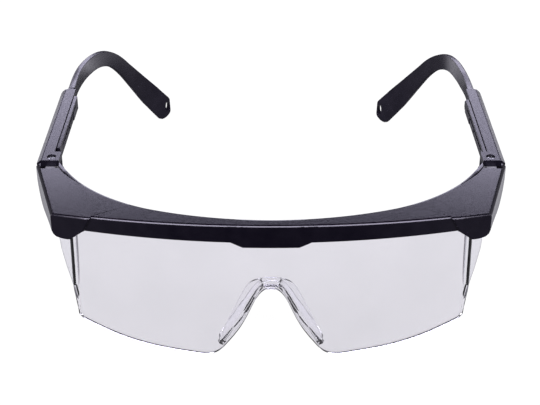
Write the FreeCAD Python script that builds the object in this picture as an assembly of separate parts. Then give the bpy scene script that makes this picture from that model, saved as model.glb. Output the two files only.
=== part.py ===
import FreeCAD, Part
import math
import os

# Wraparound safety glasses. Millimetres, +Z up, +Y from the lens towards the temple tips,
# +X towards the wearer's left. The glasses stand on the lens and the two temple tips at z = 0.
# Shapes are drawn with y = 0 at the middle of the brow's front face; ORIGIN_Y then brings the
# middle of the overall depth to the origin, and RAISED brings the lowest edge to z = 0.

V = FreeCAD.Vector
UP = V(0, 0, 1)
ACROSS = V(1, 0, 0)
BACK = V(0, 1, 0)
ORIGIN_Y = 83.17
RAISED = 0.58

# Brow frame
BROW_RADIUS = 250.0           # front curve in plan
BROW_HALF = 70.6              # front corner, half width
BROW_TOP = 48.7               # highest line, at the middle
BROW_CROWN = 1.2              # fall of the top from the middle to the corner
FASCIA = 1.7                  # wall in front of the lens
WALL = 1.4
SHELF = 1.5                   # thickness of the top shelf
FLAP_PROUD = 0.9              # corner flaps stand this far in front of the centre band
EAR_BACK = 42.0               # rear end of the hinge ears
SIDE_SLOPE = 0.2826           # outward run of the side walls per mm of depth

# Lens
LENS_THICK = 1.8
LENS_TOP = 45.6
LENS_LEAN = 5.0               # degrees, bottom edge forwards
LENS_PIVOT = V(0, 1.8, 44.0)
LENS_BEND = 4.5               # outer radius of the bend into the side shield
LENS_GAP = 0.12               # play between lens and frame slot
SHIELD_FRONT = 10.4           # depth at which the side shields take over from the front
SHIELD_SLOPE = 0.309          # outward run of the side shields per mm of depth

# Nose bridge
ARCH = [                      # half of the arch: half width, height, sideways part of its normal
    (15.6, 2.6, 0.81),
    (9.7, 10.9, 0.85),
    (6.7, 17.2, 0.9),
    (4.3, 22.1, 0.8),
    (1.9, 24.5, 0.45),
    (0, 24.7, 0.0),
]
FLANGE_EDGE = [(17.2, 3.3), (14.0, 12.6), (11.2, 18.7), (9.0, 23.4), (6.6, 26.6), (3.6, 27.9), (0, 28.2)]
FLANGE_THICK = 1.0
BRIDGE_WALL = 1.3
BRIDGE_FLARE = 1.0            # the pads spread by this much towards the rear
PAD_SIDE = [(-6, -2), (11.6, -2), (11.6, 12), (8.6, 20.5), (6.2, 22.5), (6.2, 40), (-6, 40)]

# Hinge
TILT_Y = 39.3                 # tilt pin, a transverse axis
TILT_Z = 43.3
BARREL_R = 2.6
TEETH = 36                    # round the barrel, one click every 10 degrees
TOOTH_HEIGHT = 0.25
BLOCK_IN = 73.5               # inner and outer faces of the toothed block
BLOCK_OUT = 76.6
TONGUE_HALF = 1.9             # half the height of the block's tongue
PIN_R = 0.75
FOLD_X = 74.8                 # hinge screw, a vertical axis
FOLD_Y = 46.0
SCREW_R = 0.9
SCREW_HEAD_R = 1.45
SCREW_HEAD_HEIGHT = 1.0
SCREW_SUNK = 0.5              # top of the head below the top of the sleeve
NUT_HALF = 1.6
NUT_THICK = 1.2
NUT_RAISED = 0.3              # underside of the nut above the bottom of the sleeve
FIT = 0.05                    # radial clearance of a pin or screw shank
GAP = 0.25                    # clearance between faces that pass each other

# Temple
TOE_IN = 1.84                 # degrees
SLEEVE_TOP = 47.7
SLEEVE_BOTTOM = 39.2
SLEEVE_END = 52.0             # from the hinge screw
SLEEVE_OUT = 4.7
SLEEVE_IN = -0.5
SLEEVE_CORNER = 2.6           # radius of its outer rear corner
SLEEVE_BEVEL = 0.9
FORK_IN = -2.9                # inner face of the hinge fork
BLADE_IN = -1.9               # inner face of the sliding blade

# Middle line of the arm behind the sleeve: half width, depth, height, blade height, thickness
ARM_LINE = [
    (75.0, 98.4, 43.6, 4.8, 2.8),
    (75.0, 104.5, 43.1, 5.3, 2.6),
    (74.2, 114.5, 42.8, 6.4, 2.5),
    (72.0, 124.5, 42.4, 6.6, 2.5),
    (68.5, 133.6, 41.1, 6.55, 2.4),
    (64.6, 141.7, 36.7, 6.3, 2.4),
    (60.7, 148.7, 29.1, 6.55, 2.4),
    (56.3, 155.2, 20.0, 7.6, 2.4),
    (51.6, 159.7, 11.85, 9.0, 2.5),
    (44.6, 163.1, 2.2, 9.6, 2.6),
]
ARM_SECTIONS = 16
OUT_CLICK = 3.0               # the right arm is drawn one click further out than the left
SPREAD = 2.0                  # the left arm's hook is bent outwards by this
# End of the arm, as (along, across) from the line's end, seen on its inner face
TIP_EDGE = [
    (-30, 12), (-14.2, 12), (0.2, 1.2), (1.0, -0.9),
    (1.0, -2.6), (0.1, -4.2), (-2.0, -5.3), (-30, -12),
]
SLOT_AT = (-2.5, 1.7)         # middle of the cord slot
SLOT_ALONG = (0.751, -0.66)   # its long direction
SLOT_RUN = 1.5                # from its middle to the centre of each round end
SLOT_R = 0.8


def box(x0, x1, y0, y1, z0, z1):
    return Part.makeBox(x1 - x0, y1 - y0, z1 - z0, V(x0, y0, z0))


def post(radius, x, y, z0, z1):
    return Part.makeCylinder(radius, z1 - z0, V(x, y, z0), UP)


def rod(radius, x0, x1, y, z):
    return Part.makeCylinder(radius, x1 - x0, V(x0, y, z), ACROSS)


def arc(a, b, c):
    return Part.Arc(V(*a), V(*b), V(*c)).toShape()


def closed_face(edges):
    return Part.Face(Part.Wire(Part.__sortEdges__(edges)))


def prism(points, direction):
    """Solid swept from a closed polygon."""
    outline = [V(*p) for p in points]
    return Part.Face(Part.makePolygon(outline + outline[:1])).extrude(direction)


def mirrored(shape):
    return shape.mirror(V(0, 0, 0), ACROSS)


def both(shape):
    return [shape, mirrored(shape)]


def brow_y(x, offset=0.0):
    """Depth of the brow curve, moved back by an offset, at a half width."""
    radius = BROW_RADIUS - offset
    return BROW_RADIUS - math.sqrt(radius * radius - x * x)


def side_x(y, inset=0.0):
    """Outer face of the side wall at a depth, moved inwards by an inset."""
    return BROW_HALF + SIDE_SLOPE * (y - brow_y(BROW_HALF)) - inset * math.hypot(1, SIDE_SLOPE)


def corner(offset, inset):
    """Half width and depth where the offset brow curve meets the inset side wall."""
    x = BROW_HALF - inset
    for _ in range(20):
        x = side_x(brow_y(x, offset), inset)
    return x, brow_y(x, offset)


def brow_edges(offset, inset, back, z):
    """Front arc and the two side lines, drawn at a height."""
    x, y = corner(offset, inset)
    end = side_x(back, inset)
    front = arc((-x, y, z), (0, brow_y(0, offset), z), (x, y, z))
    sides = [Part.makeLine(V(s * x, y, z), V(s * end, back, z)) for s in (-1, 1)]
    return [front] + sides, end


def shelf_outline(z):
    """Top view of the whole frame: front arc, side walls and the scooped inner edge."""
    edges, end = brow_edges(0.0, 0.0, EAR_BACK, z)
    scoop = arc((-40, 11.6, z), (0, 4.0, z), (40, 11.6, z))
    edges.append(scoop)
    for s in (-1, 1):
        edges.append(arc((s * 40, 11.6, z), (s * 60.3, 25.8, z), (s * 71.3, EAR_BACK, z)))
        edges.append(Part.makeLine(V(s * 71.3, EAR_BACK, z), V(s * end, EAR_BACK, z)))
    return closed_face(edges)


def crown(top, depth=60.0):
    """Everything under a top surface that falls gently from the middle to the sides."""
    radius = BROW_HALF * BROW_HALF / (2 * BROW_CROWN)
    drum = Part.makeCylinder(radius, depth, V(0, -5, top - radius), BACK)
    return drum.common(box(-90, 90, -5, depth - 5, 20, 60))


def band(offset_a, offset_b, z0, z1):
    """Curved wall between two offsets of the brow curve."""
    ends = []
    arcs = []
    for offset in (offset_a, offset_b):
        x, y = corner(offset, 0.0)
        arcs.append(arc((-x, y, z0), (0, brow_y(0, offset), z0), (x, y, z0)))
        ends.append((x, y))
    (xa, ya), (xb, yb) = ends
    sides = [Part.makeLine(V(s * xa, ya, z0), V(s * xb, yb, z0)) for s in (-1, 1)]
    return closed_face(arcs + sides).extrude(V(0, 0, z1 - z0))


def fascia_trim():
    """What is removed below the fascia: a central drop, a flat run and the seam."""
    run = [(9.0, 40.45), (12.9, 42.3), (61.2, 42.3), (65.1, 38.5), (80, 38.5), (80, 20)]
    half = [(x, -4, z) for x, z in run]
    points = [(-x, y, z) for x, y, z in reversed(half)] + half
    return prism(points, V(0, brow_y(BROW_HALF) + 4.2, 0))


def side_trim():
    """What is removed below the side walls, which are deepest in front of the hinge."""
    y0 = brow_y(BROW_HALF) + 0.2
    profile = [(y0 - 0.1, 41.0), (22, 38.6), (31, 36.8), (36, 37.2), (39.5, 38.6),
               (EAR_BACK + 0.5, 41.0), (EAR_BACK + 1, 20), (y0 - 0.1, 20)]
    block = prism([(52, y, z) for y, z in profile], V(38, 0, 0))
    return block


def flap():
    """Corner flap in front of the centre band, with a slanted inner edge and round lower corner."""
    edge = [(56.6, 50), (60.2, 42.5), (64.6, 38.6)]
    low = Part.makePolygon([V(x, -4, z) for x, z in edge])
    turn = arc((64.6, -4, 38.6), (69.2, -4, 39.5), (71.4, -4, 41.8))
    top = Part.makePolygon([V(71.4, -4, 41.8), V(71.4, -4, 50), V(56.6, -4, 50)])
    window = Part.Face(Part.Wire(low.Edges + [turn] + top.Edges)).extrude(V(0, 20, 0))
    return band(-FLAP_PROUD, FASCIA, 36, 50).common(window)


def hinge_ear():
    """Inner cheek that holds the inner end of the tilt pin."""
    profile = [(33.0, 47), (33.0, 40.6), (36.0, 39.4), (41.0, 40.0), (41.4, 42), (41.4, 47)]
    return prism([(70.0, y, z) for y, z in profile], V(1.5, 0, 0))


def pocket_floor():
    """Thin web under the toothed barrel, between the inner cheek and the side wall."""
    web = box(71.0, 78.5, 34.5, EAR_BACK, 39.5, 40.2)
    return web.common(shelf_outline(30).extrude(V(0, 0, 30)))


def tilt_pocket():
    """Room for the toothed barrel, open at the rear, below and above the barrel's back half."""
    low = box(71.5, 76.9, 35.9, EAR_BACK + 1, 30, BROW_TOP - BROW_CROWN - SHELF + 0.05)
    slot = box(71.5, 77.9, 38.6, EAR_BACK + 1, 30, 60)
    return low.fuse(slot)


def brow_frame():
    blank = shelf_outline(30).extrude(V(0, 0, 30)).common(crown(BROW_TOP))
    edges, end = brow_edges(FASCIA, WALL, EAR_BACK + 3, 20)
    edges.append(Part.makeLine(V(-end, EAR_BACK + 3, 20), V(end, EAR_BACK + 3, 20)))
    hollow = closed_face(edges).extrude(V(0, 0, 40)).common(crown(BROW_TOP - SHELF))
    lip_front = FASCIA + LENS_THICK + 0.45
    lip = band(lip_front, lip_front + 0.9, BROW_TOP - 5.0, BROW_TOP)
    lip = lip.common(crown(BROW_TOP - 0.4)).common(box(-58, 58, 0, 60, 0, 60))
    shape = blank.cut(hollow).cut(fascia_trim())
    for trim in both(side_trim()):
        shape = shape.cut(trim)
    shape = shape.fuse([lip.common(blank)])
    for piece in both(flap().common(crown(BROW_TOP))):
        shape = shape.fuse([piece])
    for piece in both(cheek_block()):
        shape = shape.fuse([piece])
    relief = leaned(lens_wall()).common(box(-90, 90, -5, 20, 30, LENS_PIVOT.z))
    shape = shape.cut(relief.translated(V(0, -LENS_GAP, 0)))
    for pocket in both(tilt_pocket()):
        shape = shape.cut(pocket)
    for piece in both(hinge_ear().common(crown(BROW_TOP - 0.3)).fuse([pocket_floor()])):
        shape = shape.fuse([piece])
    for hole in both(rod(PIN_R, 69, 77.4, TILT_Y, TILT_Z)):
        shape = shape.cut(hole)
    return shape.removeSplitter()


def cheek_block():
    """Solid corner between the side wall and the pocket that carries the pin's outer end."""
    outline = [(74.4, 34.6), (side_x(34.6, 0.2), 34.6), (side_x(EAR_BACK, 0.2), EAR_BACK),
               (76.9, EAR_BACK), (76.9, 35.9), (74.4, 35.9)]
    block = prism([(x, y, 39.6) for x, y in outline], V(0, 0, 9))
    return block.common(crown(BROW_TOP - 0.3))


def lens_bend():
    """Centre of the round bend between the front of the lens and its side shield."""
    radius = BROW_RADIUS - FASCIA - LENS_GAP
    length = math.hypot(1, SHIELD_SLOPE)
    along = (SHIELD_SLOPE / length, 1 / length)
    start = (64.3 - LENS_BEND * along[1], 9.8 + LENS_BEND * along[0])
    away = (start[0], start[1] - BROW_RADIUS)
    reach = radius - LENS_BEND
    half = away[0] * along[0] + away[1] * along[1]
    step = -half - math.sqrt(half * half - (away[0] ** 2 + away[1] ** 2 - reach * reach))
    return start[0] + step * along[0], start[1] + step * along[1], along


def lens_path(inset):
    """Plan edges of one skin of the lens: front arc, two bends and two straight shields."""
    cx, cy, along = lens_bend()
    bend = LENS_BEND - inset
    out = math.hypot(cx, BROW_RADIUS - cy)
    front = (cx + bend * cx / out, cy - bend * (BROW_RADIUS - cy) / out)
    side = (cx + bend * along[1], cy - bend * along[0])
    mid_angle = (math.atan2(front[1] - cy, front[0] - cx) + math.atan2(side[1] - cy, side[0] - cx)) / 2
    middle = (cx + bend * math.cos(mid_angle), cy + bend * math.sin(mid_angle))
    run = 30.5
    end = (side[0] + run * along[0], side[1] + run * along[1])
    first = FASCIA + LENS_GAP + inset
    edges = [arc((-front[0], front[1], 0), (0, first, 0), (front[0], front[1], 0))]
    for s in (-1, 1):
        edges.append(arc((s * front[0], front[1], 0), (s * middle[0], middle[1], 0),
                         (s * side[0], side[1], 0)))
        edges.append(Part.makeLine(V(s * side[0], side[1], 0), V(s * end[0], end[1], 0)))
    return edges, end


def lens_outline():
    """Front view of the lens: straight top, rounded lobes and the nose cut-out."""
    lobe = [(62.3, 9.2), (49.9, 4.3), (36, 1.1), (25, -0.25), (20.4, -0.4), (17.8, 0.5), (14.6, 3.7),
            (9.6, 10.9), (6.6, 17.2), (4.2, 22.0), (1.8, 24.3), (0, 24.5)]
    right = [V(x, -8, z) for x, z in lobe]
    left = [V(-p.x, p.y, p.z) for p in reversed(right[:-1])]
    curve = Part.BSplineCurve()
    curve.interpolate(right + left)
    rim = [right[0], V(66, -8, 12.6), V(66, -8, LENS_TOP), V(-66, -8, LENS_TOP), V(-66, -8, 12.6),
           left[-1]]
    return Part.Face(Part.Wire([curve.toShape()] + Part.makePolygon(list(reversed(rim))).Edges))


def shield_outline():
    """Side view of the side shields: rising lower edge, cut away below the hinge."""
    points = [(SHIELD_FRONT, 11.8), (11.3, 16.6), (12.6, 20.0), (24.2, 20.4), (34.0, 22.0), (38.2, 25.0),
              (39.2, 29.0), (39.2, 41.2), (31.4, 41.6), (30.6, LENS_TOP), (SHIELD_FRONT, LENS_TOP)]
    return prism([(-85, y, z) for y, z in points], V(170, 0, 0))


def lens_wall():
    """The lens before its outline is cut: an upright wall that follows the front and both shields."""
    outer, end_a = lens_path(0.0)
    inner, end_b = lens_path(LENS_THICK)
    ends = [Part.makeLine(V(s * end_a[0], end_a[1], 0), V(s * end_b[0], end_b[1], 0)) for s in (-1, 1)]
    skin = closed_face(outer + inner + ends)
    skin.translate(V(0, 0, -3))
    return skin.extrude(V(0, 0, 60))


def leaned(shape):
    return shape.rotated(LENS_PIVOT, ACROSS, -LENS_LEAN)


def lens():
    wall = lens_wall()
    front = lens_outline().extrude(V(0, 8 + SHIELD_FRONT, 0))
    return leaned(wall.common(front).fuse([wall.common(shield_outline())]).removeSplitter())


def mirrored_curve(points, y):
    """Smooth curve through half an arch and its mirror image, at a depth."""
    half = [V(x, y, z) for x, z in points]
    half += [V(-p.x, p.y, p.z) for p in reversed(half[:-1])]
    curve = Part.BSplineCurve()
    curve.interpolate(half)
    return curve.toShape()


def arch_curve(grow, y):
    """The nose arch at a depth, grown outwards."""
    return mirrored_curve([(x + grow * k, z + grow * math.sqrt(1 - k * k)) for x, z, k in ARCH], y)


def arch_wire(inner, outer):
    """Closed band between two arches."""
    ends = [Part.makeLine(inner.Vertexes[i].Point, outer.Vertexes[i].Point) for i in (0, 1)]
    return Part.Wire(Part.__sortEdges__([inner, ends[0], outer, ends[1]]))


def behind_lens(offset):
    """Space behind the rear face of the lens, moved back by an offset."""
    radius = BROW_RADIUS - FASCIA - LENS_GAP - LENS_THICK - offset
    return Part.makeCylinder(radius, 60, V(0, BROW_RADIUS, -5), UP)


def nose_bridge():
    """Soft saddle on the rear of the lens: a flange round the cut-out and pads deepest at the sides."""
    depth = 12.0
    start, end = 0.1, 0.1 + BRIDGE_FLARE
    front = arch_wire(arch_curve(start, 0), arch_curve(start + BRIDGE_WALL, 0))
    back = arch_wire(arch_curve(end, depth), arch_curve(end + BRIDGE_WALL, depth))
    pads = Part.makeLoft([front, back], True, True)
    pads = pads.common(prism([(-30, y, z) for y, z in PAD_SIDE], V(60, 0, 0)))
    flange = Part.Face(arch_wire(arch_curve(start, 0), mirrored_curve(FLANGE_EDGE, 0))).extrude(V(0, 10, 0))
    flange = flange.cut(behind_lens(FLANGE_THICK))
    return leaned(pads.fuse([flange]).common(behind_lens(0.02)).removeSplitter())


def turned(shape, angle):
    return shape.rotated(V(FOLD_X, FOLD_Y, 0), UP, angle)


def in_temple(shape):
    """Moves a shape drawn about the hinge screw (at 0, 0) to its place, toed in."""
    shape = shape.translated(V(FOLD_X, FOLD_Y, 0))
    return turned(shape, TOE_IN)


def tilt_block():
    """Toothed barrel on the tilt pin, with a tongue for the hinge screw behind it."""
    barrel = rod(BARREL_R - TOOTH_HEIGHT, BLOCK_IN, BLOCK_OUT, TILT_Y, TILT_Z)
    half_tooth = math.pi * BARREL_R / TEETH / 2
    tooth = box(BLOCK_IN, BLOCK_OUT, TILT_Y - half_tooth, TILT_Y + half_tooth, TILT_Z, TILT_Z + BARREL_R)
    teeth = [tooth.rotated(V(0, TILT_Y, TILT_Z), ACROSS, 360.0 * i / TEETH) for i in range(TEETH)]
    low = TILT_Z - TONGUE_HALF
    high = TILT_Z + TONGUE_HALF
    neck = box(BLOCK_IN, BLOCK_OUT, TILT_Y, FOLD_Y - 1, low, high)
    tongue = post(2.0, FOLD_X, FOLD_Y, low, high)
    shape = barrel.fuse(teeth + [neck, tongue])
    shape = shape.cut(rod(PIN_R + FIT, 70, 80, TILT_Y, TILT_Z))
    return shape.cut(post(SCREW_R + FIT, FOLD_X, FOLD_Y, 30, 60)).removeSplitter()


def tilt_pin():
    return rod(PIN_R, 70.1, 77.2, TILT_Y, TILT_Z)


def hinge_screw():
    """Cross-head screw from the top lug down into the nut."""
    top = SLEEVE_TOP - SCREW_SUNK
    head = post(SCREW_HEAD_R, 0, 0, top - SCREW_HEAD_HEIGHT, top)
    head = head.makeFillet(0.3, [e for e in head.Edges if abs(e.BoundBox.ZMin - top) < 1e-6])
    shank = post(SCREW_R, 0, 0, SLEEVE_BOTTOM + NUT_RAISED + 0.1, top - SCREW_HEAD_HEIGHT / 2)
    shape = head.fuse([shank])
    for angle in (0, 90):
        slot = box(-0.85, 0.85, -0.16, 0.16, top - 0.6, top + 1)
        shape = shape.cut(slot.rotated(V(0, 0, 0), UP, angle + 20))
    return in_temple(shape)


def hinge_nut():
    """Square nut pressed into the bottom lug from below."""
    low = SLEEVE_BOTTOM + NUT_RAISED
    nut = box(-NUT_HALF, NUT_HALF, -NUT_HALF, NUT_HALF, low, low + NUT_THICK)
    return in_temple(nut.cut(post(SCREW_R, 0, 0, 30, 60)))


def temple_sleeve():
    """Hinge fork at the front, then a channel that is open towards the head and to the rear."""
    front = box(FORK_IN, SLEEVE_OUT, -2.6, 3.6, SLEEVE_BOTTOM, SLEEVE_TOP)
    body = box(SLEEVE_IN, SLEEVE_OUT, 0, SLEEVE_END, SLEEVE_BOTTOM, SLEEVE_TOP)
    body = rounded(body, SLEEVE_CORNER,
                   lambda e: upright(e) and e.BoundBox.YMin > 40 and e.BoundBox.XMin > 0)
    shape = front.fuse([body]).removeSplitter()
    shape = bevel(shape, SLEEVE_BEVEL, lambda e: e.BoundBox.YLength > 30 and e.BoundBox.XMin > 3)
    shape = shape.cut(box(SLEEVE_IN - 1, 1.0, 4.2, SLEEVE_END + 1, 42.3, 45.0))
    shape = shape.cut(box(0.9, 3.1, 4.2, SLEEVE_END + 1, 41.2, 46.1))
    open_half = TONGUE_HALF + GAP
    shape = shape.cut(box(-4, 5, -3, 2.3, TILT_Z - open_half, TILT_Z + open_half))
    shape = shape.cut(post(SCREW_R, 0, 0, 30, 60))
    shape = shape.cut(post(SCREW_HEAD_R + 0.1, 0, 0, SLEEVE_TOP - SCREW_SUNK - SCREW_HEAD_HEIGHT, 60))
    seat = SLEEVE_BOTTOM + NUT_RAISED + NUT_THICK
    shape = shape.cut(box(-NUT_HALF, NUT_HALF, -NUT_HALF, NUT_HALF, SLEEVE_BOTTOM - 1, seat))
    return in_temple(shape)


def upright(edge):
    box_ = edge.BoundBox
    return box_.ZLength > 1 and box_.XLength < 1e-6 and box_.YLength < 1e-6


def rounded(shape, radius, pick):
    return shape.makeFillet(radius, [e for e in shape.Edges if pick(e)])


def bevel(shape, size, pick):
    return shape.makeChamfer(size, [e for e in shape.Edges if pick(e)])


def arm_spine(spread):
    """Middle line of the arm, with its hook bent outwards by the spread."""
    spine = Part.BSplineCurve()
    spine.interpolate([V(x + spread * min(1, max(0, (y - 118) / 16)), y, z) for x, y, z, _, _ in ARM_LINE])
    return spine


def arm_frame(spine, u):
    """Point, direction, inward normal and blade-height direction of the arm at a parameter."""
    point = spine.value(u)
    along = spine.tangent(u)[0]
    side = V(along.y, -along.x, 0).normalize()
    return point, along, side, side.cross(along).normalize()


def arm_size(fraction, column):
    """Blade height or thickness, read along the spine."""
    place = fraction * (len(ARM_LINE) - 1)
    i = min(int(place), len(ARM_LINE) - 2)
    a, b = ARM_LINE[i][column], ARM_LINE[i + 1][column]
    return a + (b - a) * (place - i)


def arm_section(spine, u, height, thick):
    """Rounded rectangle across the arm."""
    point, _, side, up = arm_frame(spine, u)
    radius = thick * 0.32
    bulge = radius * (1 - math.sqrt(0.5))
    a, b = thick / 2, height / 2
    quarter = [(a, b - radius), (a - bulge, b - bulge), (a - radius, b)]
    corners = []
    for s, t in ((1, 1), (-1, 1), (-1, -1), (1, -1)):
        points = [point + side * (s * p) + up * (t * q) for p, q in quarter]
        corners.append(points if s == t else points[::-1])
    edges = []
    for i, points in enumerate(corners):
        edges.append(Part.Arc(*points).toShape())
        edges.append(Part.makeLine(points[2], corners[(i + 1) % 4][0]))
    return Part.Wire(edges)


def temple_arm(spread):
    """Sliding blade inside the sleeve and the hooked arm behind it."""
    rail = box(1.1, 2.9, 5.0, SLEEVE_END + 0.9, 41.45, 45.85)
    neck = box(SLEEVE_IN - 0.5, 1.2, 5.0, 42.0, 42.55, 44.75)
    low = [(4.6, 44.0), (23.0, 44.0), (23.0, 45.0), (24.5, 45.0), (24.5, 43.6), (31.5, 43.6),
           (31.5, 45.0), (33.3, 45.0), (33.3, 42.3), (43.0, 42.3)]
    profile = [(4.6, 47.4)] + low + [(43.0, 47.4)]
    strip = prism([(BLADE_IN, y, z) for y, z in profile], V(SLEEVE_IN - 0.15 - BLADE_IN, 0, 0))
    window = box(BLADE_IN - 1, BLADE_IN + 0.8, 8, 38, 45.2, 46.3)
    blade = in_temple(strip.cut(window).fuse([rail, neck]))
    spine = arm_spine(spread)
    first, last = spine.FirstParameter, spine.LastParameter
    sections = []
    for i in range(ARM_SECTIONS + 1):
        fraction = i / ARM_SECTIONS
        u = spine.parameterAtDistance(spine.length() * fraction, first)
        share = (u - first) / (last - first)
        sections.append(arm_section(spine, u, arm_size(fraction, 3), arm_size(fraction, 4)))
    hook = Part.makeLoft(sections, True, False).fuse([arm_tail(spine)]).removeSplitter()
    hook = hook.cut(arm_end(spine))
    return blade.fuse([hook])


def arm_tail(spine):
    """The last stretch of the arm, straight on past the end of its line."""
    _, height, thick = ARM_LINE[-1][2:]
    outline = arm_section(spine, spine.LastParameter, height, thick)
    along = spine.tangent(spine.LastParameter)[0]
    return Part.Face(outline).extrude(along * 1.5)


def arm_end(spine):
    """What is cut from the end of the arm: everything past its outline, and the cord slot."""
    point, along, side, up = arm_frame(spine, spine.LastParameter)
    if up.z < 0:
        up = -up
    base = point - side * 10

    def flat(s, t):
        return base + along * s + up * t

    room = [flat(s, t) for s, t in ((-10, -14), (14, -14), (14, 11), (-10, 11))]
    past = prism(room, side * 20).cut(prism([flat(s, t) for s, t in TIP_EDGE], side * 20))
    (s, t), (a, b) = SLOT_AT, SLOT_ALONG

    def in_slot(run, rise):
        return flat(s + a * run - b * rise, t + b * run + a * rise)

    low, high = -SLOT_RUN, SLOT_RUN
    corners = [(low, -SLOT_R), (high, -SLOT_R), (high, SLOT_R), (low, SLOT_R)]
    slot = prism([in_slot(run, rise) for run, rise in corners], side * 20)
    rounds = [Part.makeCylinder(SLOT_R, 20, in_slot(run, 0), side) for run in (low, high)]
    return past.fuse([slot.fuse(rounds)])


def place(name, shape):
    solids = shape.Solids
    print(name, len(solids), round(shape.Volume, 1), shape.isValid(), shape.BoundBox)
    shape = shape.translated(V(0, -ORIGIN_Y, RAISED))
    shape.exportStep("parts/%s.step" % name)


if __name__ == "__main__":
    os.makedirs("parts", exist_ok=True)
    place("brow_frame", brow_frame())
    place("lens", lens())
    place("nose_bridge", nose_bridge())
    for name, make in (("tilt_block", tilt_block), ("tilt_pin", tilt_pin), ("hinge_screw", hinge_screw),
                       ("hinge_nut", hinge_nut), ("temple_sleeve", temple_sleeve)):
        shape = make()
        place("left_" + name, shape)
        place("right_" + name, mirrored(shape))
    toe = math.radians(TOE_IN)
    slide = V(-math.sin(toe), math.cos(toe), 0) * OUT_CLICK
    place("left_temple_arm", temple_arm(SPREAD))
    place("right_temple_arm", mirrored(temple_arm(0).translated(slide)))
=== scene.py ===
import math

import bmesh
import bpy
import numpy as np
from mathutils import Matrix, Vector

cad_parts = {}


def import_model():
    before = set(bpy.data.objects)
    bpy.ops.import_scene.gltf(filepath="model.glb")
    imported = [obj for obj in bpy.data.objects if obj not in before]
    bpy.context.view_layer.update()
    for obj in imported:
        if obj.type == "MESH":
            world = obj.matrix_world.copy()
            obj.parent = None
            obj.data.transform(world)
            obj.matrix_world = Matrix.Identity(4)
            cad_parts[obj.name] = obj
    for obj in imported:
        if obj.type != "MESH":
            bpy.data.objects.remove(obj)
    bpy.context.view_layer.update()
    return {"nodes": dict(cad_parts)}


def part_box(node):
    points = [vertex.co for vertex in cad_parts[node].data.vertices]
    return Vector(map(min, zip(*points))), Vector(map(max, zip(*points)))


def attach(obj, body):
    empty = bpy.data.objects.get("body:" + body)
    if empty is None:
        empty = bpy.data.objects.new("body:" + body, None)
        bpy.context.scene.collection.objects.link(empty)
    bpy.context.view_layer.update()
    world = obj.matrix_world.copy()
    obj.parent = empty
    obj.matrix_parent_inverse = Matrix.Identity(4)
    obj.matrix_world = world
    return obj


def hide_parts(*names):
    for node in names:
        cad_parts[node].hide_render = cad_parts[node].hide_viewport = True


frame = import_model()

# Wraparound safety glasses. Shapes are drawn in millimetres with y = 0 at the front of the brow
# frame, and placed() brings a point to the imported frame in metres.
MM = 0.001
FRONT_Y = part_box("brow_frame")[0].y
RAISED = 0.58                   # height of the drawing's z = 0
SMOOTH_ANGLE = math.radians(32)
MIRROR = Matrix.Scale(-1, 4, (1, 0, 0))

# Brow frame
BROW_RADIUS = 250.0
BROW_HALF = 70.6
BROW_TOP = 48.7
BROW_CROWN = 1.2
FASCIA = 1.7
WALL = 1.4
SHELF = 1.5
SHELF_RIM = 0.55                # width of the rounded rim along the scoop
FLAP_PROUD = 0.9
SIDE_SLOPE = 0.2826
CORNER_R = 0.7
CORNER_PLACE = 0.66             # share of the scoop's run that faces the front
LIP_SLOT = (3.8, 4.8)           # rib behind the lens, front and back
LIP_DEPTH = 3.2
EDGE = 0.3                      # rounding of the lower edges

# Hinge corner of the frame, outwards from the middle and back from the front
EAR_IN = 70.0
EAR_OUT = 71.5
EAR_BACK = 42.0
POCKET_OUT = 76.9
POCKET_FRONT = 35.9
SLOT_OUT = 77.9
SLOT_FRONT = 38.6
WEB = (39.75, 40.2)             # bottom and top of the thin floor under the pocket

# Lens
LENS_THICK = 1.8
LENS_TOP = 45.6
LENS_LEAN = math.radians(5)
LENS_PIVOT = (1.8, 44.0)
LENS_BEND = 4.5
LENS_GAP = 0.12
SHIELD_FRONT = 10.4
SHIELD_SLOPE = 0.309
LENS_EDGE = 0.4

# Nose bridge
ARCH = [(15.6, 2.6), (9.7, 10.9), (6.7, 17.2), (4.3, 22.1), (1.9, 24.5), (0, 24.7)]
FLANGE_EDGE = [(17.2, 3.3), (14.0, 12.6), (11.2, 18.7), (9.0, 23.4), (6.6, 26.6), (3.6, 27.9), (0, 28.2)]
FLANGE_THICK = 1.0
BRIDGE_WALL = 1.3
BRIDGE_FLARE = 0.085            # spread of the pads per mm of depth

# Hinge and temple
TILT_Y = 39.3
TILT_Z = 43.3
PIN_R = 0.75
FOLD_X = 74.8
FOLD_Y = 46.0
SLEEVE_TOP = 47.7
TOE_IN = math.radians(1.84)
BLADE = (-1.9, -0.65)           # inner and outer face of the sliding blade
BLADE_FRONT = 3.7
BLADE_BACK = 43.0
RAIL = ((1.1, 2.9), (5.0, 52.9), (41.45, 45.85))
NECK = ((-1.0, 1.2), (5.0, 42.0), (42.55, 44.75))    # joins the blade to the rail
OUT_CLICK = 3.0                 # the right arm stands one click further out than the left
SPREAD = 2.0                    # the left arm's hook is bent outwards by this
SPREAD_FROM = 118.0
SPREAD_OVER = 16.0
# Middle line of the arm behind the sleeve: half width, depth, height, arm height, thickness
ARM_LINE = [
    (75.0, 98.4, 43.6, 4.8, 2.8),
    (75.0, 104.5, 43.1, 5.3, 2.6),
    (74.2, 114.5, 42.8, 6.4, 2.5),
    (72.0, 124.5, 42.4, 6.6, 2.5),
    (68.5, 133.6, 41.1, 6.2, 2.4),
    (64.6, 141.7, 36.8, 5.9, 2.4),
    (60.7, 148.7, 29.2, 6.2, 2.4),
    (56.3, 155.2, 20.0, 7.6, 2.4),
    (51.6, 159.7, 11.85, 9.0, 2.5),
    (44.6, 163.1, 2.2, 9.6, 2.6),
]
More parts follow.
